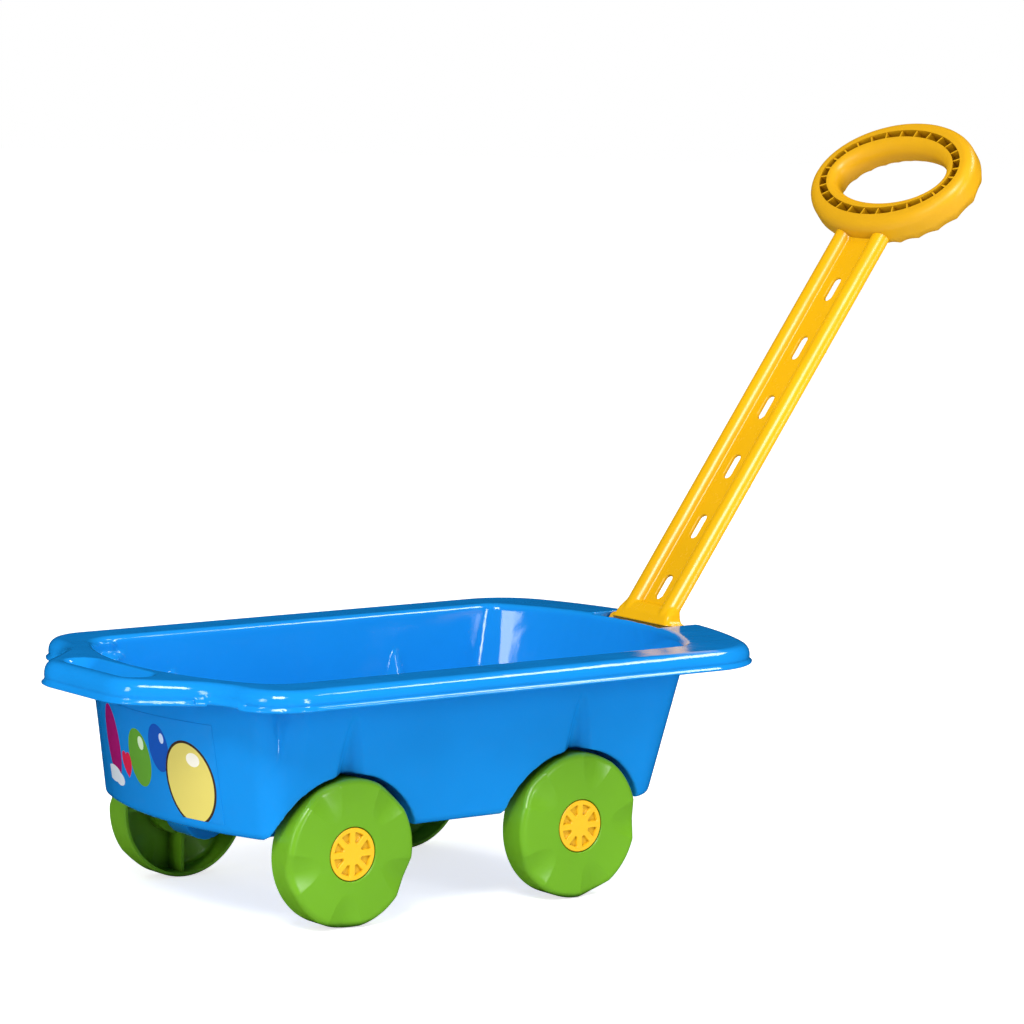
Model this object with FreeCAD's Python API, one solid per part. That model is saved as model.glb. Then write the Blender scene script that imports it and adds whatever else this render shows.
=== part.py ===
import FreeCAD, Part
import math
import os

# Child's pull wagon: moulded tub on two steel axles, four hollow wheels, and a pull handle with a ring
# grip that swings on a pin in a notch at the front of the rim. Millimetres, +Z up, +X towards the
# handle, floor at Z = 0, X = 0 halfway along the whole wagon with its handle.

V = FreeCAD.Vector
Y_AXIS = V(0, 1, 0)

# ---- driving dimensions ----
WHEEL_MID_X = -111.8          # middle of the wheelbase
WHEELBASE = 161.3
AXLE_X = (-WHEELBASE / 2, WHEELBASE / 2)
OUTSIDE = 130.0               # further out than any part of the wagon's sides
WHEEL_R = 42.5
WHEEL_W = 19.2
WHEEL_FACE_Y = 94.4           # outer face of a wheel, from the middle of the wagon
WHEEL_WALL = 2.2
WHEEL_EDGE_R = 3.6
HUB_POCKET_R = 15.5
HUB_POCKET_DEPTH = 9.0
HUB_TUBE_R = 6.5
RIB_COUNT = 4
RIB_T = 2.0
RIB_SETBACK = 3.0

AXLE_R = 3.0
AXLE_CHAMFER = 0.5
AXLE_PROUD = 0.8
RUNNING_GAP = 0.05
SIDE_GAP = 0.5                # between a turning piece and the fixed piece beside it
NUT_R = 6.5
NUT_T = 2.4
CAP_R = 15.2
CAP_T = 2.4
CAP_SUNK = 0.3
CAP_SKIRT = 8.7
CAP_SKIRT_T = 1.4
CAP_RECESSES = 8
CAP_RECESS_R = (4.6, 11.6)
CAP_RECESS_DEPTH = 1.0
CAP_SPOKE_DEG = 12.0

WALL = 2.5                    # tub wall
FLOOR_Z = 52.6                # underside of the tub floor
RIM_TOP_Z = 143.1
RIM_LIP_Z = 131.6             # lower edge of the rim skirt
RIM_SHOULDER_R = 6.5
LIP_BEAD_H = 3.0
LIP_BEAD_OUT = 1.5
LIP_BEAD_R = 1.3
RIM_HALF_W = 126.0

# sizes of the tub's body at its bottom and at its rim; places are from the wheelbase's middle
BODY_REAR_X = (-148.4, -167.0)
BODY_REAR_BOW_R = (217.4, 164.1)
BODY_REAR_CORNER_R = (13.0, 31.1)
BODY_FRONT_X = (166.2, 190.5)
BODY_FRONT_BOW_R = (147.0, 155.6)
BODY_FRONT_CORNER_R = (28.1, 16.2)
BODY_HALF_W = (86.1, 97.0)

# rim outline, from the wheelbase's middle: bowed front, hand-hold lobe at the rear, a neck beside it
RIM_FRONT_X = 223.5
RIM_FRONT_BOW_R = 235.4
RIM_FRONT_CORNER_R = 48.8
LOBE_X = -205.5
LOBE_HALF_W = 39.9
LOBE_CORNER_R = 30.7
NECK = (-163.9, 78.0)
NECK_R = 46.0
REAR_CORNER = (-157.9, RIM_HALF_W)
REAR_CORNER_R = 34.2

ARCH_R = 53.2                 # wheel arch
ARCH_CENTRE_Z = 33.5
ARCH_DEPTH_Y = 73.0           # inner wall of an arch, from the middle of the wagon
LUG_R = 16.6                  # axle lugs under the tub
LUG_L = 22.0
LUG_PROUD = 1.2               # lug's outer face, outside the arch's inner wall

DENT_DEPTH = 2.6
DART_Z = (118.0, 80.0)        # tip and wide end of the dart over each arch
DART_R = 9.0
FLUTE_X = -128.3
FLUTE_Z = (90.0, 136.0)       # flute near each rear corner, widening upwards
FLUTE_Y = (89.3, 94.6)        # the wall's side at those heights
FLUTE_R = 13.0
BOTTOM_R = 5.0
INNER_EDGE_R = 4.0

TROUGH_X = -183.0
TROUGH_R = 13.0
TROUGH_DEPTH = 6.0
TROUGH_HALF_L = 27.0
CHEEK_T = 2.5
PIN_PROUD = 1.0

DECAL_T = 0.2
DECAL_HALF_W = 57.0
DECAL_Z = (59.0, 116.0)

PIVOT_X = 204.0               # handle pivot, ahead of the wheelbase's middle
PIVOT_Z = 138.0
PIN_R = 2.5
BARREL_R = 5.0
BARREL_HALF_L = 33.0
# flared foot's sections: height, half length, and where it starts and ends
FOOT = ((143.5, 28.0, 195.4, 209.3), (146.0, 25.2, 197.9, 209.9), (152.0, 23.0, 204.0, 211.0))
FOOT_CORNER_R = 3.0
NOTCH_HALF_W = 34.0
POCKET_FLOOR_Z = 127.0        # top of the floor under the notch

BAR_TILT = 54.1               # degrees above horizontal
BAR_HALF_W = 24.0
BAR_BACK = 2.3                # back plane of the bar, in front of the pivot axis
RAIL_R = 7.2
RAIL_WALL = 2.0
WEB_T = 2.4
SLOT_COUNT = 6
SLOT_L = 17.0
SLOT_W = 6.4
SLOT_STEP = 44.0
FIRST_SLOT = 25.8             # middle of the lowest slot, along the bar from the pivot
TONGUE = (24.0, 8.0, 3.0)     # width, length and thickness of the bar's tongue inside the ring

RING_TILT = 48.4
RING_ALONG = 329.3            # middle of the ring, along the bar from the pivot
RING_PROUD = 3.2              # and in front of the pivot axis
RING_ACROSS = 58.2            # half-axes of the ring's centreline
RING_DEEP = 32.8
RING_HALF_W = 10.9            # half width of the ring's band
RING_FRONT = 8.2              # band's front and back faces, from the centreline
RING_BACK = 12.6
RING_EDGE_R = (6.5, 9.0)      # edge roundings: front, back
CHANNEL = (-4.2, 2.5)         # rib channel's walls, from the centreline
CHANNEL_DEPTH = 16.0
CHANNEL_RIBS = 28
CHANNEL_RIB_T = 1.2
RIB_SUNK = 0.6                # how far the ribs' tops stand below the ring's front face

os.makedirs("parts", exist_ok=True)


def save(name, shape):
    """Write one sub-part, and say what it is."""
    shape.exportStep("parts/" + name + ".step")
    size = shape.optimalBoundingBox(False)
    print(f"{name:22s} solids {len(shape.Solids)} valid {shape.isValid()} volume {shape.Volume:8.0f}"
          f"  x {size.XMin:6.1f} {size.XMax:6.1f}  y {size.YMin:6.1f} {size.YMax:6.1f}"
          f"  z {size.ZMin:6.1f} {size.ZMax:6.1f}")


def cylinder_y(x, z, radius, y0, y1):
    """Cylinder along Y; x is from the middle of the wheelbase."""
    return Part.makeCylinder(radius, y1 - y0, V(WHEEL_MID_X + x, y0, z), Y_AXIS)


def box(x0, x1, y0, y1, z0, z1):
    """Box between limits; x is from the middle of the wheelbase."""
    return Part.makeBox(x1 - x0, y1 - y0, z1 - z0, V(WHEEL_MID_X + x0, y0, z0))


def mirrored(shape):
    """The same shape on the other side of the wagon."""
    return shape.mirror(V(0, 0, 0), Y_AXIS)


def both_sides(shape):
    return [shape, mirrored(shape)]


# ---- outlines, seen from above ----
def on_floor_plan(x, y, z):
    """A point given from the middle of the wheelbase."""
    return V(WHEEL_MID_X + x, y, z)


def other_side(p):
    return V(p.x, -p.y, p.z)


def rounded_path(points, radii, z):
    """Edges through points (x, y), with a tangent arc at each inner one."""
    here = [on_floor_plan(x, y, z) for x, y in points]
    edges = []
    last = here[0]
    for i, radius in enumerate(radii, start=1):
        before = (here[i - 1] - here[i]).normalize()
        after = (here[i + 1] - here[i]).normalize()
        half = before.getAngle(after) / 2
        reach = radius / math.tan(half)
        centre = here[i] + (before + after).normalize() * (radius / math.sin(half))
        middle = centre + (here[i] - centre).normalize() * radius
        edges.append(Part.LineSegment(last, here[i] + before * reach).toShape())
        edges.append(Part.Arc(here[i] + before * reach, middle, here[i] + after * reach).toShape())
        last = here[i] + after * reach
    edges.append(Part.LineSegment(last, here[-1]).toShape())
    return edges


def bow_corner(end_x, bow_r, half_w, corner_r, z):
    """Where a bowed end meets a side: points on the end, inside the corner and on the side."""
    way = 1 if end_x > 0 else -1
    bow = on_floor_plan(end_x - way * bow_r, 0, z)
    run = math.sqrt((bow_r - corner_r) ** 2 - (half_w - corner_r) ** 2)
    centre = bow + V(way * run, half_w - corner_r, 0)
    out = (centre - bow).normalize()
    return bow + out * bow_r, centre + (out + Y_AXIS).normalize() * corner_r, centre + Y_AXIS * corner_r


def body_wire(level, inset):
    """Outline of the tub's body, moved inwards: level 0 is its bottom, level 1 the top of the rim."""
    z = FLOOR_Z + level * (RIM_TOP_Z - FLOOR_Z)

    def between(sizes):
        return sizes[0] + level * (sizes[1] - sizes[0])

    rear_x = between(BODY_REAR_X) + inset
    front_x = between(BODY_FRONT_X) - inset
    half_w = between(BODY_HALF_W) - inset
    front = bow_corner(front_x, between(BODY_FRONT_BOW_R) - inset, half_w, between(BODY_FRONT_CORNER_R) - inset, z)
    rear = bow_corner(rear_x, between(BODY_REAR_BOW_R) - inset, half_w, between(BODY_REAR_CORNER_R) - inset, z)
    arcs = [
        Part.Arc(other_side(front[0]), on_floor_plan(front_x, 0, z), front[0]),
        Part.Arc(*front),
        Part.LineSegment(front[2], rear[2]),
        Part.Arc(rear[2], rear[1], rear[0]),
        Part.Arc(rear[0], on_floor_plan(rear_x, 0, z), other_side(rear[0])),
        Part.Arc(*[other_side(p) for p in rear]),
        Part.LineSegment(other_side(rear[2]), other_side(front[2])),
        Part.Arc(other_side(front[2]), other_side(front[1]), other_side(front[0])),
    ]
    return Part.Wire([arc.toShape() for arc in arcs])


def rim_wire(z, inset=0.0):
    """Outline of the rim at height z, moved inwards by inset."""
    on_front, in_corner, on_side = bow_corner(RIM_FRONT_X, RIM_FRONT_BOW_R, RIM_HALF_W, RIM_FRONT_CORNER_R, z)
    points = [(LOBE_X, 0), (LOBE_X, LOBE_HALF_W), NECK, REAR_CORNER, (on_side.x - WHEEL_MID_X, RIM_HALF_W)]
    half = rounded_path(points, [LOBE_CORNER_R, NECK_R, REAR_CORNER_R], z)
    half.append(Part.Arc(on_side, in_corner, on_front).toShape())
    front = Part.Arc(on_front, on_floor_plan(RIM_FRONT_X, 0, z), other_side(on_front)).toShape()
    mirrored_half = [mirrored(edge) for edge in half]
    wire = Part.Wire(Part.__sortEdges__(half + [front] + mirrored_half))
    return wire.makeOffset2D(-inset) if inset else wire


def prism(wire, height):
    return Part.Face(wire).extrude(V(0, 0, height))


# ---- tub ----
def body_solid(inset, low, high, bottom_r=0.0):
    """The tub's body as a solid, between two levels of its height, with its bottom edge rounded."""
    solid = Part.makeLoft([body_wire(low, inset), body_wire(high, inset)], True, True)
    if bottom_r:
        z = FLOOR_Z + low * (RIM_TOP_Z - FLOOR_Z)
        solid = solid.makeFillet(bottom_r, edges_at(solid, z))
    return solid


def edges_at(shape, z):
    """Edges that lie wholly at height z."""
    return [e for e in shape.Edges if abs(e.BoundBox.ZMin - z) < 1e-4 and abs(e.BoundBox.ZMax - z) < 1e-4]


def rounded_plate(z0, z1, inset, radius):
    """The rim's outline as a plate, with its top edge rounded."""
    plate = prism(rim_wire(z0, inset), z1 - z0)
    return plate.makeFillet(radius, edges_at(plate, z1))


def shell_with_rim():
    """Walls, floor and rim of the tub, before anything is pressed into them or cut out."""
    body = body_solid(0, 0, 1, BOTTOM_R)
    cavity = body_solid(WALL, WALL / (RIM_TOP_Z - FLOOR_Z), 1.05, BOTTOM_R - WALL)
    plate = rounded_plate(RIM_LIP_Z, RIM_TOP_Z, LIP_BEAD_OUT, RIM_SHOULDER_R)
    bead = rounded_plate(RIM_LIP_Z, RIM_LIP_Z + LIP_BEAD_H, 0, LIP_BEAD_R)
    tub = plate.fuse(body).cut(cavity)
    tub = tub.makeFillet(INNER_EDGE_R, mouth_edges(tub))
    under_deck = rounded_plate(RIM_LIP_Z, RIM_TOP_Z - WALL, LIP_BEAD_OUT + WALL, RIM_SHOULDER_R - WALL)
    return tub.fuse(bead.cut(under_deck)).cut(under_deck.cut(body))


def wall_y(z):
    """The body's side face at height z."""
    level = (z - FLOOR_Z) / (RIM_TOP_Z - FLOOR_Z)
    return BODY_HALF_W[0] + level * (BODY_HALF_W[1] - BODY_HALF_W[0])


def dent(x, walls_y, ends_z, radius, extra):
    """Pointed dent in the left side: a cone that leaves the wall at its tip; extra thickens it."""
    tip = on_floor_plan(x, walls_y[0], ends_z[0])
    wide = on_floor_plan(x, walls_y[1] + radius - DENT_DEPTH, ends_z[1])
    return Part.makeCone(extra, radius + extra, (wide - tip).Length, tip, wide - tip)


def side_features(extra):
    """What is pressed into the tub's left side: two wheel arches, a dart over each, and a flute."""
    shapes = [dent(FLUTE_X, FLUTE_Y, FLUTE_Z, FLUTE_R, extra)]
    for x in AXLE_X:
        shapes.append(cylinder_y(x, ARCH_CENTRE_Z, ARCH_R + extra, ARCH_DEPTH_Y - extra, OUTSIDE))
        shapes.append(dent(x, [wall_y(z) for z in DART_Z], DART_Z, DART_R, extra))
    return shapes


def trough(extra):
    """Finger trough in the rear deck: a round-ended, round-bottomed channel across the wagon."""
    radius = TROUGH_R + extra
    z = RIM_TOP_Z + TROUGH_R - TROUGH_DEPTH
    shape = cylinder_y(TROUGH_X, z, radius, -TROUGH_HALF_L, TROUGH_HALF_L)
    for y in (-TROUGH_HALF_L, TROUGH_HALF_L):
        shape = shape.fuse(Part.makeSphere(radius, on_floor_plan(TROUGH_X, y, z)))
    return shape


def axle_lug(x):
    """Hollow lug that hangs from the floor beside a left-hand wheel and carries the axle."""
    y1 = ARCH_DEPTH_Y + LUG_PROUD
    y0 = y1 - LUG_L
    top = FLOOR_Z + WALL / 2

    def bridge(radius, y_low, y_high):
        round_end = cylinder_y(x, WHEEL_R, radius, y_low, y_high)
        return round_end.fuse(box(x - radius, x + radius, y_low, y_high, WHEEL_R, top))

    above = box(x - 2 * LUG_R, x + 2 * LUG_R, 0, OUTSIDE, top, top + 2 * LUG_R)
    return bridge(LUG_R, y0, y1).cut(bridge(LUG_R - WALL, y0 + WALL, y1 - WALL)).cut(above)


def handle_pocket():
    """Cheeks and floor of the pocket under the notch, which carry the pivot pin."""
    outer = box(BODY_FRONT_X[0], RIM_FRONT_X, -NOTCH_HALF_W - CHEEK_T, NOTCH_HALF_W + CHEEK_T,
                POCKET_FLOOR_Z - WALL, RIM_TOP_Z - WALL)
    inner = box(BODY_FRONT_X[0], RIM_FRONT_X, -NOTCH_HALF_W, NOTCH_HALF_W, POCKET_FLOOR_Z, RIM_TOP_Z)
    outline = prism(rim_wire(POCKET_FLOOR_Z - WALL, LIP_BEAD_OUT), RIM_TOP_Z - POCKET_FLOOR_Z)
    return outer.cut(inner).common(outline)


def make_tub():
    body = body_solid(0, 0, 1, BOTTOM_R)
    tub = shell_with_rim()
    for liner in side_features(WALL):
        for shape in both_sides(liner):
            tub = tub.fuse(body.common(shape))
    for space in side_features(0):
        for shape in both_sides(space):
            tub = tub.cut(shape)
    deck = prism(rim_wire(RIM_LIP_Z, LIP_BEAD_OUT + WALL), RIM_TOP_Z - RIM_LIP_Z)
    tub = tub.fuse(trough(WALL).common(deck)).cut(trough(0))

    tub = tub.fuse(handle_pocket().cut(body_solid(WALL / 2, 0.5, 1.0)))
    notch = box(BODY_FRONT_X[0], RIM_FRONT_X + 1, -NOTCH_HALF_W, NOTCH_HALF_W, POCKET_FLOOR_Z, RIM_TOP_Z + 1)
    tub = tub.cut(notch.cut(body_solid(0, 0.5, 1.05)))
    tub = tub.cut(cylinder_y(PIVOT_X, PIVOT_Z, PIN_R, -OUTSIDE, OUTSIDE))

    for x in AXLE_X:
        for lug in both_sides(axle_lug(x)):
            tub = tub.fuse(lug)
        tub = tub.cut(cylinder_y(x, WHEEL_R, AXLE_R, -OUTSIDE, OUTSIDE))
    return one_solid(tub)


def mouth_edges(tub):
    """Edges of the tub's mouth, where the deck meets the inside of the walls."""
    mouth = body_wire(1, WALL)
    found = []
    for edge in edges_at(tub, RIM_TOP_Z):
        middle = edge.valueAt((edge.FirstParameter + edge.LastParameter) / 2)
        if mouth.distToShape(Part.Vertex(middle))[0] < 0.05:
            found.append(edge)
    return found


def one_solid(shape):
    """The single solid of a boolean result."""
    if len(shape.Solids) != 1:
        raise ValueError(f"{len(shape.Solids)} solids")
    return shape.Solids[0]


def make_decal():
    """Thin printed film on the bowed rear wall."""
    film = body_solid(-DECAL_T, 0, 1).cut(body_solid(0, 0, 1))
    return film.common(box(-OUTSIDE * 2, -60, -DECAL_HALF_W, DECAL_HALF_W, *DECAL_Z))


# ---- running gear ----
def make_wheel():
    """Left front wheel about its own axle: a cup with a closed outer face, hub pocket, tube and ribs."""
    x = AXLE_X[1]
    inner_y = WHEEL_FACE_Y - WHEEL_W
    pocket_y = WHEEL_FACE_Y - HUB_POCKET_DEPTH

    def ring_y(radius, y0, y1):
        return cylinder_y(x, WHEEL_R, radius, y0, y1)

    cup = ring_y(WHEEL_R, inner_y, WHEEL_FACE_Y)
    face_edge = [e for e in cup.Edges if e.BoundBox.YMin > WHEEL_FACE_Y - 1e-4 and e.Closed]
    cup = cup.makeFillet(WHEEL_EDGE_R, face_edge)
    cup = cup.cut(ring_y(WHEEL_R - WHEEL_WALL, inner_y, WHEEL_FACE_Y - WHEEL_WALL))
    cup = cup.fuse(ring_y(HUB_POCKET_R + WHEEL_WALL, pocket_y - WHEEL_WALL, WHEEL_FACE_Y - WHEEL_WALL / 2))
    cup = cup.fuse(ring_y(HUB_TUBE_R, inner_y, pocket_y))
    for i in range(RIB_COUNT):
        rib = box(x + HUB_TUBE_R / 2, x + WHEEL_R - WHEEL_WALL / 2, inner_y + RIB_SETBACK,
                  WHEEL_FACE_Y - WHEEL_WALL / 2, WHEEL_R - RIB_T / 2, WHEEL_R + RIB_T / 2)
        rib.rotate(on_floor_plan(x, 0, WHEEL_R), Y_AXIS, 360 * i / RIB_COUNT + 90)
        cup = cup.fuse(rib)
    cup = cup.cut(ring_y(HUB_POCKET_R, pocket_y, WHEEL_FACE_Y))
    return one_solid(cup.cut(ring_y(AXLE_R + RUNNING_GAP, inner_y, WHEEL_FACE_Y)))


def make_hub_cap():
    """Snap-in cap for a hub pocket: a rimmed disc with a ring of shallow recesses."""
    x = AXLE_X[1]
    y1 = WHEEL_FACE_Y - CAP_SUNK
    cap = cylinder_y(x, WHEEL_R, CAP_R, y1 - CAP_T, y1)
    skirt = cylinder_y(x, WHEEL_R, CAP_R, y1 - CAP_SKIRT, y1 - CAP_T / 2)
    skirt = skirt.cut(cylinder_y(x, WHEEL_R, CAP_R - CAP_SKIRT_T, y1 - CAP_SKIRT, y1))
    cap = cap.fuse(skirt)
    sector = 360 / CAP_RECESSES
    for i in range(CAP_RECESSES):
        ring = cylinder_y(x, WHEEL_R, CAP_RECESS_R[1], y1 - CAP_RECESS_DEPTH, y1)
        ring = ring.cut(cylinder_y(x, WHEEL_R, CAP_RECESS_R[0], y1 - CAP_RECESS_DEPTH, y1))
        half = math.radians((sector - CAP_SPOKE_DEG) / 2)
        reach = CAP_R * 1.5
        corners = [on_floor_plan(x, y1 - CAP_RECESS_DEPTH, WHEEL_R)]
        for turn in (-half, half):
            corners.append(corners[0] + V(reach * math.cos(turn), 0, reach * math.sin(turn)))
        wedge = Part.Face(Part.makePolygon(corners + corners[:1])).extrude(V(0, CAP_RECESS_DEPTH, 0))
        recess = ring.common(wedge)
        recess.rotate(on_floor_plan(x, 0, WHEEL_R), Y_AXIS, sector * i)
        cap = cap.cut(recess)
    return one_solid(cap)


def make_push_nut():
    """Domed push nut that grips the end of an axle inside the hub pocket."""
    x = AXLE_X[1]
    y0 = WHEEL_FACE_Y - HUB_POCKET_DEPTH + SIDE_GAP
    nut = cylinder_y(x, WHEEL_R, NUT_R, y0, y0 + NUT_T)
    outer_edge = [e for e in nut.Edges if e.BoundBox.YMin > y0 + NUT_T - 1e-4 and e.Closed]
    nut = nut.makeFillet(NUT_T / 2, outer_edge)
    return nut.cut(cylinder_y(x, WHEEL_R, AXLE_R, y0, y0 + NUT_T))


def make_axle(x):
    end = WHEEL_FACE_Y - HUB_POCKET_DEPTH + SIDE_GAP + NUT_T + AXLE_PROUD
    axle = cylinder_y(x, WHEEL_R, AXLE_R, -end, end)
    return axle.makeChamfer(AXLE_CHAMFER, [e for e in axle.Edges if e.Closed])


# ---- handle ----
def along_bar(s, across, proud):
    """A point s up the bar from the pivot, across the wagon, and proud of the pivot towards the rider."""
    tilt = math.radians(BAR_TILT)
    return on_floor_plan(PIVOT_X + s * math.cos(tilt) - proud * math.sin(tilt), across,
                         PIVOT_Z + s * math.sin(tilt) + proud * math.cos(tilt))


def bar_block(s0, s1, half_w, n0, n1):
    """Block in the bar's own directions: along it, across it and through its thickness."""
    block = Part.makeBox(s1 - s0, 2 * half_w, n1 - n0)
    block.Placement = bar_placement(s0, -half_w, n0)
    return block


def bar_placement(s, across, proud):
    return FreeCAD.Placement(along_bar(s, across, proud), FreeCAD.Rotation(Y_AXIS, -BAR_TILT))


def rail(side, radius, s0, s1):
    """Half-round rail along one side of the bar."""
    axis = along_bar(s1, 0, 0) - along_bar(s0, 0, 0)
    tube = Part.makeCylinder(radius, s1 - s0, along_bar(s0, side * (BAR_HALF_W - RAIL_R), BAR_BACK), axis)
    return tube.common(bar_block(s0, s1, OUTSIDE, BAR_BACK, BAR_BACK + radius))


def ring_place(deep, across, proud):
    """A point in the ring's own directions, from the middle of the ring."""
    tilt = math.radians(RING_TILT)
    return along_bar(RING_ALONG, 0, RING_PROUD) + V(
        deep * math.cos(tilt) - proud * math.sin(tilt), across, deep * math.sin(tilt) + proud * math.cos(tilt))


def oval(offset, n0, n1):
    """Oval plate as large as the ring's centreline moved out by offset."""
    deep_axis = ring_place(1, 0, 0) - ring_place(0, 0, 0)
    normal = ring_place(0, 0, 1) - ring_place(0, 0, 0)
    ellipse = Part.Ellipse(ring_place(0, RING_ACROSS + offset, n0), ring_place(RING_DEEP + offset, 0, n0),
                           ring_place(0, 0, n0))
    face = Part.Face(Part.Wire(ellipse.toShape()))
    return face.extrude(normal * (n1 - n0))


def make_grip_ring():
    """Oval ring grip: a rounded band with a ribbed channel in its front face."""
    band = oval(RING_HALF_W, -RING_BACK, RING_FRONT).cut(oval(-RING_HALF_W, -RING_BACK, RING_FRONT))
    for n, radius in ((RING_FRONT, RING_EDGE_R[0]), (-RING_BACK, RING_EDGE_R[1])):
        long_edges = [e for e in band.Edges if abs(height_over_ring(e.CenterOfMass) - n) < 0.01]
        band = band.makeFillet(radius, long_edges)
    channel = oval(CHANNEL[1], RING_FRONT - CHANNEL_DEPTH, RING_FRONT)
    channel = channel.cut(oval(CHANNEL[0], RING_FRONT - CHANNEL_DEPTH, RING_FRONT))
    for i in range(CHANNEL_RIBS):
        turn = 2 * math.pi * i / CHANNEL_RIBS
        channel = channel.cut(channel_rib(turn))
    return one_solid(band.cut(channel))


def height_over_ring(point):
    tilt = math.radians(RING_TILT)
    return (point - ring_place(0, 0, 0)).dot(V(-math.sin(tilt), 0, math.cos(tilt)))


def channel_rib(turn):
    """One thin rib across the ring's channel."""
    across = RING_ACROSS * math.sin(turn)
    deep = RING_DEEP * math.cos(turn)
    lean = math.degrees(math.atan2(math.sin(turn) / RING_ACROSS, math.cos(turn) / RING_DEEP))
    length = 2 * RING_HALF_W
    rib = Part.makeBox(length, CHANNEL_RIB_T, CHANNEL_DEPTH, V(-length / 2, -CHANNEL_RIB_T / 2, 0))
    rib.rotate(V(0, 0, 0), V(0, 0, 1), lean)
    rib.Placement = FreeCAD.Placement(ring_place(deep, across, RING_FRONT - CHANNEL_DEPTH - RIB_SUNK),
                                      FreeCAD.Rotation(Y_AXIS, -RING_TILT)).multiply(rib.Placement)
    return rib


def foot_section(z, half_l, x0, x1):
    """Outline of the handle's foot at height z: a rectangle with rounded corners."""
    outline = [(x0, -half_l), (x1, -half_l), (x1, half_l), (x0, half_l), (x0, -half_l)]
    plate = prism(Part.makePolygon([on_floor_plan(x, y, z) for x, y in outline]), 1)
    plate = plate.makeFillet(FOOT_CORNER_R, [e for e in plate.Edges if e.BoundBox.ZLength > 0.5])
    return [f for f in plate.Faces if f.BoundBox.ZMax < z + 1e-4][0].OuterWire


def make_bar(ring):
    """Handle bar: two hollow half-round rails joined by a slotted web, on a flared foot with a pivot barrel."""
    end = RING_ALONG
    bar = bar_block(0, end, BAR_HALF_W - RAIL_R, BAR_BACK, BAR_BACK + WEB_T)
    for side in (-1, 1):
        bar = bar.fuse(rail(side, RAIL_R, 0, end).cut(rail(side, RAIL_R - RAIL_WALL, 0, end)))
    for i in range(SLOT_COUNT):
        middle = FIRST_SLOT + i * SLOT_STEP
        slot = bar_block(middle - SLOT_L / 2, middle + SLOT_L / 2, SLOT_W / 2, BAR_BACK - 1, BAR_BACK + WEB_T + 1)
        through = [e for e in slot.Edges if abs(e.Length - WEB_T - 2) < 1e-6]
        bar = bar.cut(slot.makeFillet(SLOT_W * 0.45, through))
    bar = bar.cut(oval(0, -OUTSIDE, OUTSIDE)).cut(ring)
    underside = FOOT[0][0]
    bar = bar.cut(box(0, OUTSIDE * 3, -OUTSIDE, OUTSIDE, 0, underside + 1))
    bar = largest_solid(bar).fuse(tongue())

    foot = Part.makeLoft([foot_section(*section) for section in FOOT], True, True)
    barrel = cylinder_y(PIVOT_X, PIVOT_Z, BARREL_R, -BARREL_HALF_L, BARREL_HALF_L)
    half_l = FOOT[0][1]
    neck = box(PIVOT_X - BARREL_R, PIVOT_X + BARREL_R, -half_l, half_l, PIVOT_Z, underside + 1)
    bar = bar.fuse(foot).fuse(barrel.fuse(neck))
    return one_solid(bar.cut(cylinder_y(PIVOT_X, PIVOT_Z, PIN_R + RUNNING_GAP, -OUTSIDE, OUTSIDE)))


def tongue():
    """Tongue on the bar's top end, which is pressed into the ring."""
    width, length, thickness = TONGUE
    s0 = RING_ALONG - RING_DEEP - RING_HALF_W - WEB_T
    return bar_block(s0, s0 + WEB_T + length, width / 2, BAR_BACK, BAR_BACK + thickness)


def largest_solid(shape):
    return max(shape.Solids, key=lambda s: s.Volume)


def make_pin():
    half = NOTCH_HALF_W + CHEEK_T + PIN_PROUD
    pin = cylinder_y(PIVOT_X, PIVOT_Z, PIN_R, -half, half)
    return pin.makeChamfer(AXLE_CHAMFER, [e for e in pin.Edges if e.Closed])


# ---- the wagon ----
save("tub", make_tub())
save("rear_decal", make_decal())

moved_back = V(-WHEELBASE, 0, 0)
for kind, shape in (("wheel", make_wheel()), ("hub_cap", make_hub_cap()), ("push_nut", make_push_nut())):
    for end, shift in (("front", V(0, 0, 0)), ("rear", moved_back)):
        placed = shape.translated(shift)
        save(f"{kind}_{end}_left", placed)
        save(f"{kind}_{end}_right", mirrored(placed))
for end, x in (("rear", AXLE_X[0]), ("front", AXLE_X[1])):
    save("axle_" + end, make_axle(x))

ring = make_grip_ring().cut(tongue())
save("handle_grip_ring", ring)
save("handle_bar", make_bar(oval(RING_HALF_W, -RING_BACK, RING_FRONT)))
save("handle_pivot_pin", make_pin())
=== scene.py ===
import bmesh
import bpy
import math
from mathutils import Matrix, Vector


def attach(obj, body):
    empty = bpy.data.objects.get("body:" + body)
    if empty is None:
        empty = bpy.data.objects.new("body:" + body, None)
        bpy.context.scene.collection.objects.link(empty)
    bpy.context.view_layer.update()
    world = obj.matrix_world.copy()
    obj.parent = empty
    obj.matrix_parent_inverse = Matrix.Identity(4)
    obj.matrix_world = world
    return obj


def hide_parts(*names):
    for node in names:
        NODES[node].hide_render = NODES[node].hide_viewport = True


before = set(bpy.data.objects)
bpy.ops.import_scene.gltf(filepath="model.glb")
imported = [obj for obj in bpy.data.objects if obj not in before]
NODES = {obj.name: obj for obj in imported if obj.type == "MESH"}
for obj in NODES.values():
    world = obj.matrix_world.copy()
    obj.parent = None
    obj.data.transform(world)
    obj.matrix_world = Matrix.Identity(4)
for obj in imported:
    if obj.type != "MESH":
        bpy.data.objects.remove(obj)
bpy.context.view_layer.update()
MM = 0.001
WHEEL_MID_X = -111.8          # middle of the wheelbase, mm
ENDS = ("front", "rear")
SIDES = {"left": 1, "right": -1}


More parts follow.
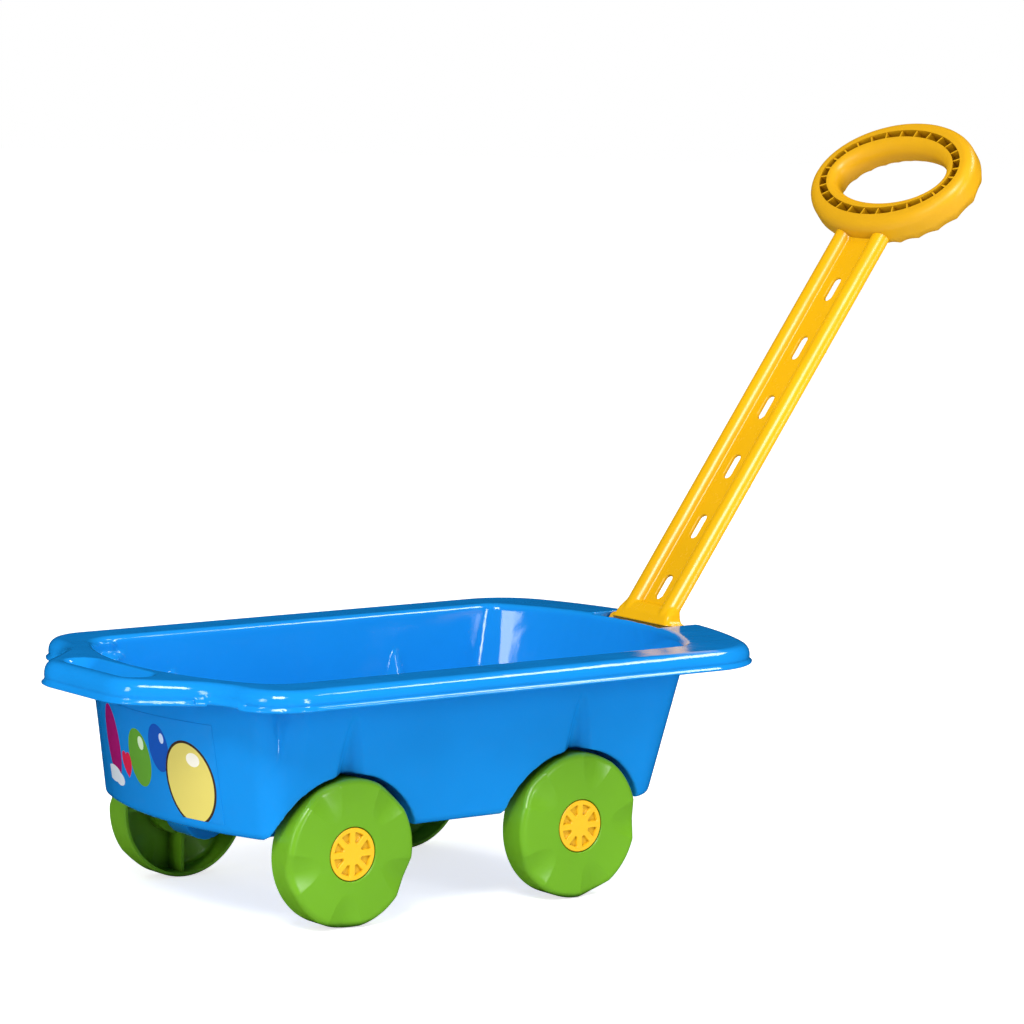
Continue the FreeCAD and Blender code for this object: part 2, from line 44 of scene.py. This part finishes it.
# ---- materials ----
class Nodes:
    """Short calls that add and join shader nodes."""

    def __init__(self, name):
        self.material = bpy.data.materials.new(name)
        self.material.use_nodes = True
        self.tree = self.material.node_tree
        self.shader = self.tree.nodes["Principled BSDF"]
        self.coords = self.tree.nodes.new("ShaderNodeTexCoord").outputs["Object"]

    def put(self, socket, value):
        if isinstance(value, bpy.types.NodeSocket):
            self.tree.links.new(value, socket)
        else:
            socket.default_value = value

    def add(self, kind, inputs, out=0, **settings):
        node = self.tree.nodes.new(kind)
        for key, value in settings.items():
            setattr(node, key, value)
        for key, value in inputs.items():
            self.put(node.inputs[key], value)
        return node.outputs[out]

    def math(self, operation, a, b=0.0, c=0.0):
        return self.add("ShaderNodeMath", {0: a, 1: b, 2: c}, operation=operation)

    def noise(self, scale, detail=3.0, rough=0.5, at=None):
        return self.add("ShaderNodeTexNoise", {"Vector": at or self.coords, "Scale": scale, "Detail": detail,
                                               "Roughness": rough})

    def span(self, value, low, high, to_low, to_high):
        return self.add("ShaderNodeMapRange", {"Value": value, "From Min": low, "From Max": high,
                                               "To Min": to_low, "To Max": to_high})

    def mix(self, factor, a, b):
        node = self.tree.nodes.new("ShaderNodeMix")
        node.data_type = "RGBA"
        self.put(node.inputs["Factor"], factor)
        self.put(node.inputs[6], a)
        self.put(node.inputs[7], b)
        return node.outputs[2]

    def bump(self, height, distance, strength=1.0, under=None):
        inputs = {"Height": height, "Distance": distance, "Strength": strength}
        if under is not None:
            inputs["Normal"] = under
        return self.add("ShaderNodeBump", inputs)


def moulded_plastic(name, colour, rough=(0.22, 0.34), flow=0.0009, grain=0.00002, coat=0.0, reach=8.0):
    """Injection-moulded polypropylene: slow flow waves, fine grain, faint scuffs and uneven colour, and
    painted shade that darkens the colour in crevices (ambient occlusion within reach mm).
    """
    m = Nodes(name)
    shade = tuple(c * 0.90 for c in colour)
    drift = m.span(m.noise(9.0, 4.0), 0.35, 0.65, 0.0, 1.0)
    # painted shade: where ambient occlusion finds near surfaces, the base colour goes to this darker crevice
    # shade
    deep = tuple(c * c * 0.30 + c * 0.05 for c in colour)
    ao_openness = m.add("ShaderNodeAmbientOcclusion", {"Distance": reach * MM}, 1, samples=6)
    own_colour = m.mix(drift, (*shade, 1), (*colour, 1))
    m.put(m.shader.inputs["Base Color"], m.mix(m.span(ao_openness, 0.2, 0.8, 0.0, 1.0), (*deep, 1), own_colour))
    scuff = m.span(m.noise(160.0, 6.0, 0.7), 0.52, 0.74, 0.0, 1.0)
    m.put(m.shader.inputs["Roughness"], m.span(scuff, 0.0, 1.0, rough[0], rough[1]))
    waves = m.bump(m.noise(22.0, 2.0), flow)
    m.put(m.shader.inputs["Normal"], m.bump(m.noise(1400.0, 2.0), grain, 1.0, waves))
    m.shader.inputs["IOR"].default_value = 1.49
    m.shader.inputs["Coat Weight"].default_value = coat
    m.shader.inputs["Coat Roughness"].default_value = 0.08
    return m.material


def drawn_steel(name, rough):
    """Bright rod or pressed steel: lines from drawing and small dull patches."""
    m = Nodes(name)
    stretched = m.add("ShaderNodeMapping", {"Vector": m.coords, "Scale": (1.0, 0.02, 1.0)})
    lines = m.noise(900.0, 3.0, 0.6, stretched)
    m.put(m.shader.inputs["Base Color"], m.mix(m.noise(60.0), (0.42, 0.42, 0.43, 1), (0.66, 0.66, 0.67, 1)))
    m.put(m.shader.inputs["Roughness"], m.span(lines, 0.3, 0.7, rough, rough + 0.2))
    m.put(m.shader.inputs["Normal"], m.bump(lines, 0.00003))
    m.shader.inputs["Metallic"].default_value = 1.0
    return m.material


# each plastic gets painted shade in its crevices; reach is the ambient occlusion distance in mm
BLUE = moulded_plastic("blue_polypropylene", (0.008, 0.275, 0.78), rough=(0.10, 0.17), coat=0.25)
YELLOW = moulded_plastic("yellow_polypropylene", (0.93, 0.49, 0.002), rough=(0.24, 0.34))
GRIP_YELLOW = moulded_plastic("grip_polypropylene", (0.80, 0.41, 0.002), rough=(0.36, 0.46), reach=7.0)
GREEN = moulded_plastic("green_polypropylene", (0.165, 0.43, 0.015), rough=(0.28, 0.38))
AMBER = moulded_plastic("amber_polypropylene", (0.95, 0.55, 0.012), rough=(0.30, 0.40), reach=3.0)
STEEL = drawn_steel("bright_steel", 0.22)
ZINC = drawn_steel("zinc_plate", 0.35)

# printed balloons: middle (y, z) and half sizes in mm, and colour
BALLOONS = (
    (44, 92, 10, 22, (0.42, 0.01, 0.17)),
    (10, 88, 12, 17, (0.14, 0.40, 0.04)),
    (-12, 97, 9, 14, (0.01, 0.10, 0.50)),
    (-35, 80, 19.5, 24.5, (0.05, 0.03, 0.02)),
    (-35, 80, 18, 23, (0.80, 0.68, 0.16)),
    (-35, 55, 3, 3, (0.80, 0.68, 0.16)),
    (-40, 94, 5, 4, (1.0, 0.96, 0.80)),
    (-16, 103, 2, 3, (0.65, 0.78, 0.98)),
    (6, 97, 3, 4, (0.75, 0.95, 0.60)),
    (50, 72, 11, 5, (0.85, 0.93, 1.0)),
    (42, 70, 7, 4, (0.85, 0.93, 1.0)),
)
HEART = (27, 80, 6, 8, (0.80, 0.02, 0.08))


def printed_film():
    """Clear film on blue plastic with plain balloons and a heart printed on it."""
    m = Nodes("printed_film")
    place = m.tree.nodes.new("ShaderNodeSeparateXYZ")
    m.put(place.inputs[0], m.coords)
    y, z = place.outputs[1], place.outputs[2]
    drift = m.span(m.noise(9.0, 4.0), 0.35, 0.65, 0.0, 1.0)
    colour = m.mix(drift, (0.007, 0.25, 0.71, 1), (0.008, 0.275, 0.78, 1))
    for at_y, at_z, half_w, half_h, ink in BALLOONS:
        across = m.math("MULTIPLY", m.math("SUBTRACT", y, at_y * MM), 1 / (half_w * MM))
        upwards = m.math("MULTIPLY", m.math("SUBTRACT", z, at_z * MM), 1 / (half_h * MM))
        reach = m.math("ADD", m.math("MULTIPLY", across, across), m.math("MULTIPLY", upwards, upwards))
        colour = m.mix(m.math("LESS_THAN", reach, 1.0), colour, (*ink, 1))
    at_y, at_z, half_w, half_h, ink = HEART
    across = m.math("MULTIPLY", m.math("SUBTRACT", y, at_y * MM), 1.15 / (half_w * MM))
    upwards = m.math("MULTIPLY", m.math("SUBTRACT", z, at_z * MM), 1.15 / (half_h * MM))
    square = m.math("MULTIPLY", across, across)
    body = m.math("SUBTRACT", m.math("ADD", square, m.math("MULTIPLY", upwards, upwards)), 1.0)
    cube = m.math("MULTIPLY", m.math("MULTIPLY", upwards, upwards), upwards)
    body_cube = m.math("MULTIPLY", m.math("MULTIPLY", body, body), body)
    inside = m.math("LESS_THAN", body_cube, m.math("MULTIPLY", square, cube))
    m.put(m.shader.inputs["Base Color"], m.mix(inside, colour, (*ink, 1)))
    m.put(m.shader.inputs["Roughness"], m.span(m.noise(160.0, 6.0, 0.7), 0.5, 0.75, 0.14, 0.26))
    m.put(m.shader.inputs["Normal"], m.bump(m.noise(45.0, 2.0), 0.0006))
    m.shader.inputs["Coat Weight"].default_value = 0.3
    return m.material


FILM = printed_film()


# ---- meshes ----
SPLIT_ANGLE = 35              # degrees; sharper edges stay crisp


def piece(name, verts, faces, material, body, nodes=(), split=SPLIT_ANGLE):
    """A named piece from vertices in mm, which rides a body and takes the place of CAD nodes."""
    mesh = bpy.data.meshes.new(name)
    mesh.from_pydata([Vector(v) * MM for v in verts], [], faces)
    bm = bmesh.new()
    bm.from_mesh(mesh)
    bmesh.ops.recalc_face_normals(bm, faces=bm.faces)
    bm.to_mesh(mesh)
    bm.free()
    for face in mesh.polygons:
        face.use_smooth = True
    mesh.materials.append(material)
    obj = bpy.data.objects.new(name, mesh)
    bpy.context.scene.collection.objects.link(obj)
    edge = obj.modifiers.new("edge", "EDGE_SPLIT")
    edge.split_angle = math.radians(split)
    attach(obj, body)
    if nodes:
        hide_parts(*nodes)
    return obj


def loop_faces(rows, columns, closed_rows, first=0):
    """Quads of a grid whose columns go round; its rows go round too if closed_rows."""
    faces = []
    for i in range(rows if closed_rows else rows - 1):
        a, b = first + i * columns, first + (i + 1) % rows * columns
        for j in range(columns):
            k = (j + 1) % columns
            faces.append((a + j, a + k, b + k, b + j))
    return faces


def arc_points(centre, radius, start, end, steps):
    """Points (u, v) on an arc, angles in degrees."""
    angles = [math.radians(start + (end - start) * i / steps) for i in range(steps + 1)]
    return [(centre[0] + radius * math.cos(t), centre[1] + radius * math.sin(t)) for t in angles]


def smooth(value, low, high):
    t = min(1.0, max(0.0, (value - low) / (high - low)))
    return t * t * (3 - 2 * t)


# ---- wheels ----
WHEEL_R = 42.5
WHEEL_FACE_Y = 94.4
WHEEL_W = 19.2
WHEEL_WALL = 2.2
EDGE_R = 3.6
HUB_HOLE_R = 15.5
HUB_POCKET = 9.0
HUB_TUBE_R = 6.5
BORE_R = 3.05
AXLE_X = {"front": 80.65, "rear": -80.65}
SCOOPS = 5
SCOOP_START = 0.52 * WHEEL_R
SCOOP_HALF_W = 12.0
SCOOP_DEPTH = 3.2
SCOOP_TURN = {
    ("rear", "right"): 47.5,
    ("front", "right"): 0.0,
    ("rear", "left"): 18.0,
    ("front", "left"): 57.0,
}
HUB_EDGE_R = 0.8
TREAD_BEVEL = 0.6
INSIDE_R = 2.0
WHEEL_STEPS = 480


def scoop(radius, angle):
    """How deep a wheel's face is pressed in at this radius and angle (degrees)."""
    u = (radius - SCOOP_START) / (WHEEL_R - SCOOP_START)
    if u <= 0:
        return 0.0
    step = 360 / SCOOPS
    off = math.radians((angle + step / 2) % step - step / 2) * radius
    half = SCOOP_HALF_W * math.sqrt(u)
    return SCOOP_DEPTH * u ** 1.2 * max(0.0, 1 - abs(off / half) ** 1.6)


def wheel_profile():
    """Section of a wheel: radius and depth behind the face."""
    r, w, t = WHEEL_R, WHEEL_W, WHEEL_WALL
    section = [(BORE_R, w), (BORE_R, HUB_POCKET), (HUB_HOLE_R, HUB_POCKET), (HUB_HOLE_R, HUB_EDGE_R)]
    section += arc_points((HUB_HOLE_R + HUB_EDGE_R, HUB_EDGE_R), HUB_EDGE_R, 180, 270, 5)[1:]
    inner, outer = HUB_HOLE_R + 2 * HUB_EDGE_R, r - EDGE_R
    section += [(inner + (outer - inner) * i / 22, 0.0) for i in range(23)]
    section += arc_points((r - EDGE_R, EDGE_R), EDGE_R, -90, 0, 8)[1:]
    section += [(r, EDGE_R + 4.0), (r, EDGE_R + 9.0), (r, w - TREAD_BEVEL), (r - TREAD_BEVEL, w)]
    section += [(r - t, w), (r - t, t + 4.0)]
    section += arc_points((r - t - INSIDE_R, t + INSIDE_R), INSIDE_R, 0, -90, 4)
    inner, outer = HUB_HOLE_R + t, r - t - INSIDE_R
    section += [(outer + (inner - outer) * i / 16, t) for i in range(1, 17)]
    section += [(HUB_HOLE_R + t, HUB_POCKET + t), (HUB_TUBE_R, HUB_POCKET + t), (HUB_TUBE_R, w)]
    return section


def make_wheel(end, side):
    way = SIDES[side]
    turn = SCOOP_TURN[end, side]
    middle = WHEEL_MID_X + AXLE_X[end]
    section = wheel_profile()
    verts = []
    for radius, depth in section:
        for j in range(WHEEL_STEPS):
            angle = 360 * j / WHEEL_STEPS
            share = 1 - smooth(depth, WHEEL_WALL + 2.0, EDGE_R + 9.0)
            y = WHEEL_FACE_Y - depth - share * scoop(radius, angle - turn)
            a = math.radians(angle)
            verts.append((middle + radius * math.cos(a), way * y, WHEEL_R + radius * math.sin(a)))
    faces = loop_faces(len(section), WHEEL_STEPS, True)
    for quarter in range(4):
        add_rib(verts, faces, middle, way, 90 * quarter, turn)
    body = f"wheel_{end}_{side}"
    piece(f"wheel_shell_{end}_{side}", verts, faces, GREEN, body, [body])


def add_rib(verts, faces, middle, way, angle, turn):
    """Thin rib between the hub tube and the tread, inside a wheel."""
    a = math.radians(angle)
    steps = 20
    first = len(verts)
    for i in range(steps + 1):
        radius = HUB_TUBE_R - 1 + (WHEEL_R - WHEEL_WALL / 2 - HUB_TUBE_R + 1) * i / steps
        top = 1.4 + scoop(radius, angle - turn) if radius > HUB_HOLE_R + 1 else HUB_POCKET + 1
        for side in (-1, 1):
            for depth in (top, WHEEL_W - 3.0):
                x = middle + radius * math.cos(a) - side * math.sin(a)
                z = WHEEL_R + radius * math.sin(a) + side * math.cos(a)
                verts.append((x, way * (WHEEL_FACE_Y - depth), z))
    for i in range(steps):
        k = first + 4 * i
        for p, q in ((0, 1), (1, 3), (3, 2), (2, 0)):
            faces.append((k + p, k + q, k + 4 + q, k + 4 + p))
    faces.append((first, first + 1, first + 3, first + 2))
    k = first + 4 * steps
    faces.append((k, k + 1, k + 3, k + 2))


# ---- hub caps ----
CAP_R = 15.15
CAP_SUNK = 0.35
CAP_SKIRT = 8.65
CAP_EDGE_R = 0.6
CAP_RECESSES = 8
CAP_RECESS = (6.7, 12.3)
CAP_RECESS_DEPTH = 1.7
CAP_SPOKE = 1.9
CAP_STEPS = 320
CAP_WALL = 1.4
CAP_PLATE = 2.4
CAP_CENTRE_R = 0.03
CAP_RING_GAP = 0.3


def cap_recess(radius, angle):
    """Depth of the cap's recesses at this radius and angle (degrees)."""
    step = 360 / CAP_RECESSES
    off = abs((angle % step) - step / 2)
    from_spoke = math.radians(step / 2 - off) * radius - CAP_SPOKE
    radial = smooth(radius, CAP_RECESS[0] - 0.3, CAP_RECESS[0] + 0.35)
    radial *= 1 - smooth(radius, CAP_RECESS[1] - 0.35, CAP_RECESS[1] + 0.3)
    return CAP_RECESS_DEPTH * radial * smooth(from_spoke, -0.3, 0.4)


def make_cap(end, side):
    way = SIDES[side]
    middle = WHEEL_MID_X + AXLE_X[end]
    rings = [CAP_CENTRE_R] + [CAP_RING_GAP * i for i in range(1, 50)]
    section = [(r, 0.0) for r in rings if r < CAP_R - CAP_EDGE_R]
    section += arc_points((CAP_R - CAP_EDGE_R, CAP_EDGE_R), CAP_EDGE_R, -90, 0, 5)
    section += [(CAP_R, CAP_SKIRT), (CAP_R - CAP_WALL, CAP_SKIRT)]
    section += [(CAP_R - CAP_WALL, CAP_PLATE), (CAP_CENTRE_R, CAP_PLATE)]
    verts = []
    for radius, depth in section:
        for j in range(CAP_STEPS):
            angle = 360 * j / CAP_STEPS
            dish = cap_recess(radius, angle) if depth == 0 else 0.0
            a = math.radians(angle)
            y = WHEEL_FACE_Y - CAP_SUNK - depth - dish
            verts.append((middle + radius * math.cos(a), way * y, WHEEL_R + radius * math.sin(a)))
    faces = loop_faces(len(section), CAP_STEPS, True)
    node = f"hub_cap_{end}_{side}"
    piece(f"hub_cap_cover_{end}_{side}", verts, faces, AMBER, f"wheel_{end}_{side}", [node])


# ---- grip ring ----
PIVOT = (204.0, 138.0)
BAR_TILT = math.radians(54.1)
RING_TILT = math.radians(48.4)
RING_ALONG = 329.3
RING_PROUD = 3.2
RING_ACROSS = 58.2
RING_DEEP = 32.8
RING_HALF_W = 10.9
RING_FRONT = 8.2
RING_BACK = 12.6
CHANNEL = (-3.7, 1.7)
BACK_SHIFT = 3.5
INNER_DRAFT = 3.0
CHANNEL_FLOOR = -7.8
RIB_TOP = 7.6
RING_RIBS = 28
RING_STEPS = 672
FINGER_RIDGES = 24
RIDGE_DEPTH = 1.0
FRONT_R = 6.5
BACK_R = 9.0
RIB_HALF_T = 0.6
RIB_SUNK = 0.4
RING_SPLIT = 50


def ring_point(deep, across, proud):
    x = WHEEL_MID_X + PIVOT[0] + RING_ALONG * math.cos(BAR_TILT) - RING_PROUD * math.sin(BAR_TILT)
    z = PIVOT[1] + RING_ALONG * math.sin(BAR_TILT) + RING_PROUD * math.cos(BAR_TILT)
    c, s = math.cos(RING_TILT), math.sin(RING_TILT)
    return x + deep * c - proud * s, across, z + deep * s + proud * c


def ring_section():
    """Section of the ring's band: outward offset, height over the ring's middle, and ridge share."""
    outer = [(CHANNEL[1], CHANNEL_FLOOR, 0), (CHANNEL[1], RING_FRONT, 0)]
    for out, up in arc_points((RING_HALF_W - FRONT_R, RING_FRONT - FRONT_R), FRONT_R, 90, 0, 9):
        outer.append((out, up, 0))
    outer.append((RING_HALF_W, -1.0, 0))
    for out, up in arc_points((RING_HALF_W - BACK_R, -RING_BACK + BACK_R), BACK_R, 0, -90, 12):
        outer.append((out, up, smooth(-up, 4.5, 9.5)))
    for out, up in arc_points((-RING_HALF_W + BACK_R, -RING_BACK + BACK_R), BACK_R, 270, 180, 12):
        outer.append((out + INNER_DRAFT * smooth(-up, -2.0, 12.0), up, 0.6 * smooth(-up, 7.0, 12.0)))
    outer.append((-RING_HALF_W, -1.0, 0))
    for out, up in arc_points((-RING_HALF_W + FRONT_R, RING_FRONT - FRONT_R), FRONT_R, 180, 90, 9):
        outer.append((out, up, 0))
    return outer + [(CHANNEL[0], RING_FRONT, 0), (CHANNEL[0], CHANNEL_FLOOR, 0)]


def make_ring():
    section = ring_section()
    turns = [2 * math.pi * j / RING_STEPS for j in range(RING_STEPS)]
    lengths = [math.hypot(RING_ACROSS * math.cos(t), RING_DEEP * math.sin(t)) for t in turns]
    total, run, along = sum(lengths), 0.0, []
    for length in lengths:
        along.append(run / total)
        run += length
    verts = []
    for out, up, share in section:
        for t, part in zip(turns, along):
            valley = share * RIDGE_DEPTH * abs(math.sin(math.pi * FINGER_RIDGES * part))
            size = math.hypot(out, up + 2)
            o, n = out - valley * out / size, up - valley * (up + 2) / size
            slip = BACK_SHIFT * (RING_FRONT - n) / (RING_FRONT + RING_BACK)
            deep = (RING_DEEP + o) * math.cos(t) - slip
            across = (RING_ACROSS + o) * math.sin(t)
            verts.append(ring_point(deep, across, n))
    faces = loop_faces(len(section), RING_STEPS, True)
    for i in range(RING_RIBS):
        t = 2 * math.pi * i / RING_RIBS
        reach = math.hypot(RING_ACROSS * math.cos(t), RING_DEEP * math.sin(t))
        first = len(verts)
        for o in (CHANNEL[0] - RIB_SUNK, CHANNEL[1] + RIB_SUNK):
            for side in (-RIB_HALF_T, RIB_HALF_T):
                a = t + side / reach
                deep = (RING_DEEP + o) * math.cos(a)
                across = (RING_ACROSS + o) * math.sin(a)
                for n in (CHANNEL_FLOOR - RIB_SUNK, RIB_TOP):
                    verts.append(ring_point(deep, across, n))
        for corners in ((0, 1, 3, 2), (4, 5, 7, 6), (0, 1, 5, 4), (2, 3, 7, 6), (1, 3, 7, 5), (0, 2, 6, 4)):
            faces.append(tuple(first + k for k in corners))
    piece("grip_ring", verts, faces, GRIP_YELLOW, "handle", ["handle_grip_ring"], RING_SPLIT)


# ---- tub and bar: the CAD shapes with moulded roundings ----
ARCH_TOP = 84.0
DART_TIP = 121.0
DART_HALF_W = 10.0
DART_DEPTH = 4.6
FLUTE_X = -126.0
FLUTE_Z = (74.0, 131.0)
FLUTE_HALF_W = 15.0
FLUTE_DEPTH = 6.5
FOOT_Z = 143.5
FOOT_DROP = 1.8
LIP_Z = 131.6
LIP_DROP = 2.2
LIP_STEP = 1.2
LIP_SOFTNESS = 0.04
LOBE_START = -128.0
LOBE_END = -200.0
LOBE_SIDE = (-168, 97)        # the lobe's lip is behind the first or outside the second, mm
DENT_LOW = 56                 # the side wall's dents lie above this and between these two half widths
DENT_Y = (60, 101)
DART_LOW = 60
LIP_OUTSIDE = (-172, 196, 101)  # the lip is behind, before or outside these
GROOVE = (1.2, 2.0, 3.0, 4.2)   # heights over LIP_Z: start, full depth, full depth, end
CRISP = (LIP_Z - 4, LIP_Z + 5)
TUB_VOXEL = 0.9
BAR_VOXEL = 0.6


def remeshed(node_name, voxel):
    """A copy of a CAD node's mesh with even small faces."""
    node = NODES[node_name]
    even = node.modifiers.new("even", "REMESH")
    even.mode = "VOXEL"
    even.voxel_size = voxel * MM
    depsgraph = bpy.context.evaluated_depsgraph_get()
    mesh = bpy.data.meshes.new_from_object(node.evaluated_get(depsgraph))
    node.modifiers.remove(even)
    return mesh


def moulded(name, mesh, material, body, node_name, rounds, keep=None):
    mesh.materials.clear()
    mesh.materials.append(material)
    for face in mesh.polygons:
        face.use_smooth = True
        face.material_index = 0
    obj = bpy.data.objects.new(name, mesh)
    bpy.context.scene.collection.objects.link(obj)
    soften = obj.modifiers.new("soften", "SMOOTH")
    soften.factor = 0.5
    soften.iterations = rounds
    if keep:
        group = obj.vertex_groups.new(name="soft")
        crisp = [v.index for v in mesh.vertices if keep[0] < v.co.z / MM < keep[1]]
        group.add(range(len(mesh.vertices)), 1.0, "REPLACE")
        group.add(crisp, LIP_SOFTNESS, "REPLACE")
        soften.vertex_group = "soft"
    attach(obj, body)
    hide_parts(node_name)


def wall_dent(x, z):
    """How far the tub's side is pressed in at x and z, both in mm."""
    depth = 0.0
    for centre in AXLE_X.values():
        up = (z - ARCH_TOP) / (DART_TIP - ARCH_TOP)
        if DART_LOW < z < DART_TIP:
            half = DART_HALF_W * math.sqrt(1 - up)
            share = min(1.0, math.sqrt(1 - up))
            depth = max(depth, DART_DEPTH * share * (1 - min(1.0, abs(x - centre) / half) ** 2.2))
    across = abs(x - FLUTE_X) / FLUTE_HALF_W
    if across < 1:
        depth = max(depth, FLUTE_DEPTH * smooth(z, *FLUTE_Z) * (1 - across ** 2) ** 2)
    return depth


def make_tub():
    mesh = remeshed("tub", TUB_VOXEL)
    normals = [vert.normal.copy() for vert in mesh.vertices]
    for vert, normal in zip(mesh.vertices, normals):
        x, y, z = vert.co.x / MM - WHEEL_MID_X, vert.co.y / MM, vert.co.z / MM
        if DENT_Y[0] < abs(y) < DENT_Y[1] and DENT_LOW < z < LIP_Z + 4:
            fade = 1 - smooth(z, LIP_Z - 1, LIP_Z + 4)
            y -= math.copysign(wall_dent(x, z) * fade, y)
        notch = smooth(z, LIP_Z + GROOVE[0], LIP_Z + GROOVE[1])
        notch *= 1 - smooth(z, LIP_Z + GROOVE[2], LIP_Z + GROOVE[3])
        if notch and (abs(y) > LIP_OUTSIDE[2] or x > LIP_OUTSIDE[1] or x < LIP_OUTSIDE[0]):
            out = normal.x * x + normal.y * y
            if out > 0:
                x -= LIP_STEP * notch * normal.x
                y -= LIP_STEP * notch * normal.y
        if z > LIP_Z - 1 and x < LOBE_START and (abs(y) > LOBE_SIDE[1] or x < LOBE_SIDE[0]):
            z -= LIP_DROP * smooth(-x, -LOBE_START, -LOBE_END) * (1 - smooth(z, LIP_Z + 1, LIP_Z + 9))
        vert.co = Vector((x + WHEEL_MID_X, y, z)) * MM
    moulded("tub_moulding", mesh, BLUE, "tub", "tub", 6, CRISP)


def make_bar():
    mesh = remeshed("handle_bar", BAR_VOXEL)
    for vert in mesh.vertices:
        z = vert.co.z / MM
        if z > FOOT_Z - 0.4:
            vert.co.z -= FOOT_DROP * MM * (1 - smooth(z, FOOT_Z + 0.5, FOOT_Z + 4.5))
    moulded("pull_bar", mesh, YELLOW, "handle", "handle_bar", 5)


# ---- CAD nodes that stay ----
def wear(node_name, material):
    node = NODES[node_name]
    node.data.materials.clear()
    node.data.materials.append(material)
    for face in node.data.polygons:
        face.use_smooth = True
    edge = node.modifiers.new("edge", "EDGE_SPLIT")
    edge.split_angle = math.radians(SPLIT_ANGLE)


wear("rear_decal", FILM)
wear("handle_pivot_pin", STEEL)
for end in ENDS:
    wear("axle_" + end, STEEL)
    for side in SIDES:
        wear(f"push_nut_{end}_{side}", ZINC)
        make_wheel(end, side)
        make_cap(end, side)
make_ring()
make_tub()
make_bar()


# ---- floor, lights and camera ----
FLOOR_GLOW = 0.7
WORLD_LIGHT = 0.43
FLOOR_R = 9.0
FLOOR_GAP = 0.0004


def brighter_for_camera(tree, socket, value, seen):
    """A strength that is one value as light and another where the camera sees it."""
    ray = tree.nodes.new("ShaderNodeLightPath")
    level = tree.nodes.new("ShaderNodeMapRange")
    tree.links.new(ray.outputs["Is Camera Ray"], level.inputs["Value"])
    level.inputs["To Min"].default_value = value
    level.inputs["To Max"].default_value = seen
    tree.links.new(level.outputs["Result"], socket)


def floor():
    mesh = bpy.data.meshes.new("floor")
    bm = bmesh.new()
    bmesh.ops.create_circle(bm, cap_ends=True, segments=96, radius=FLOOR_R)
    bm.to_mesh(mesh)
    bm.free()
    slab = bpy.data.objects.new("floor", mesh)
    bpy.context.scene.collection.objects.link(slab)
    slab.location.z = -FLOOR_GAP
    m = Nodes("pale_floor")
    m.put(m.shader.inputs["Base Color"], m.mix(m.noise(3.0), (0.86, 0.86, 0.86, 1), (0.89, 0.89, 0.89, 1)))
    m.shader.inputs["Roughness"].default_value = 0.7
    m.shader.inputs["Specular IOR Level"].default_value = 0.1
    m.shader.inputs["Emission Color"].default_value = (1.0, 1.0, 1.0, 1)
    brighter_for_camera(m.tree, m.shader.inputs["Emission Strength"], 0.0, FLOOR_GLOW)
    slab.visible_glossy = False
    slab.data.materials.append(m.material)


def softbox(name, place, target, size, power):
    data = bpy.data.lights.new(name, "AREA")
    data.shape = "RECTANGLE"
    data.size, data.size_y = size
    data.energy = power
    light = bpy.data.objects.new(name, data)
    bpy.context.scene.collection.objects.link(light)
    light.location = place
    light.rotation_mode = "QUATERNION"
    light.rotation_quaternion = (Vector(target) - Vector(place)).to_track_quat("-Z", "Y")
    return light


CAMERA_AZIMUTH = math.radians(-37.43)
CAMERA_ELEVATION = math.radians(7.10)
CAMERA_ROLL = math.radians(1.29)
CAMERA_DISTANCE = 2.7228
CAMERA_LOOK = Vector((-0.01406, 0.0, 0.2142))
CAMERA_LENS = 161.45


def camera():
    a, e, r = CAMERA_AZIMUTH, CAMERA_ELEVATION, CAMERA_ROLL
    back = Vector((math.sin(a) * math.cos(e), -math.cos(a) * math.cos(e), math.sin(e)))
    right = Vector((math.cos(a), math.sin(a), 0.0))
    up = back.cross(right)
    turned_right = math.cos(r) * right + math.sin(r) * up
    turned_up = -math.sin(r) * right + math.cos(r) * up
    data = bpy.data.cameras.new("camera")
    data.lens = CAMERA_LENS
    data.sensor_width = 36.0
    data.clip_start, data.clip_end = 0.05, 50.0
    cam = bpy.data.objects.new("camera", data)
    bpy.context.scene.collection.objects.link(cam)
    turn = Matrix((turned_right, turned_up, back)).transposed().to_4x4()
    cam.matrix_world = Matrix.Translation(CAMERA_LOOK + back * CAMERA_DISTANCE) @ turn
    bpy.context.scene.camera = cam


def light_room():
    world = bpy.data.worlds.new("studio")
    bpy.context.scene.world = world
    world.use_nodes = True
    backdrop = world.node_tree.nodes["Background"]
    backdrop.inputs["Color"].default_value = (1.0, 1.0, 1.0, 1)
    brighter_for_camera(world.node_tree, backdrop.inputs["Strength"], WORLD_LIGHT, 1.0)
    world.cycles_visibility.glossy = False
    softbox("key", (-1.5, -1.3, 2.2), (0, 0, 0.1), (1.0, 1.0), 56)
    softbox("strip", (1.5, -0.55, 1.9), (0, 0, 0.1), (1.3, 0.35), 18)
    softbox("side", (-2.7, -0.6, 0.9), (0, 0, 0.1), (0.5, 1.0), 12)
    softbox("streak", (0.3, -2.7, 0.8), (0, 0, 0.1), (0.35, 1.3), 20)
    bpy.context.scene.view_settings.view_transform = "Standard"


floor()
camera()
light_room()
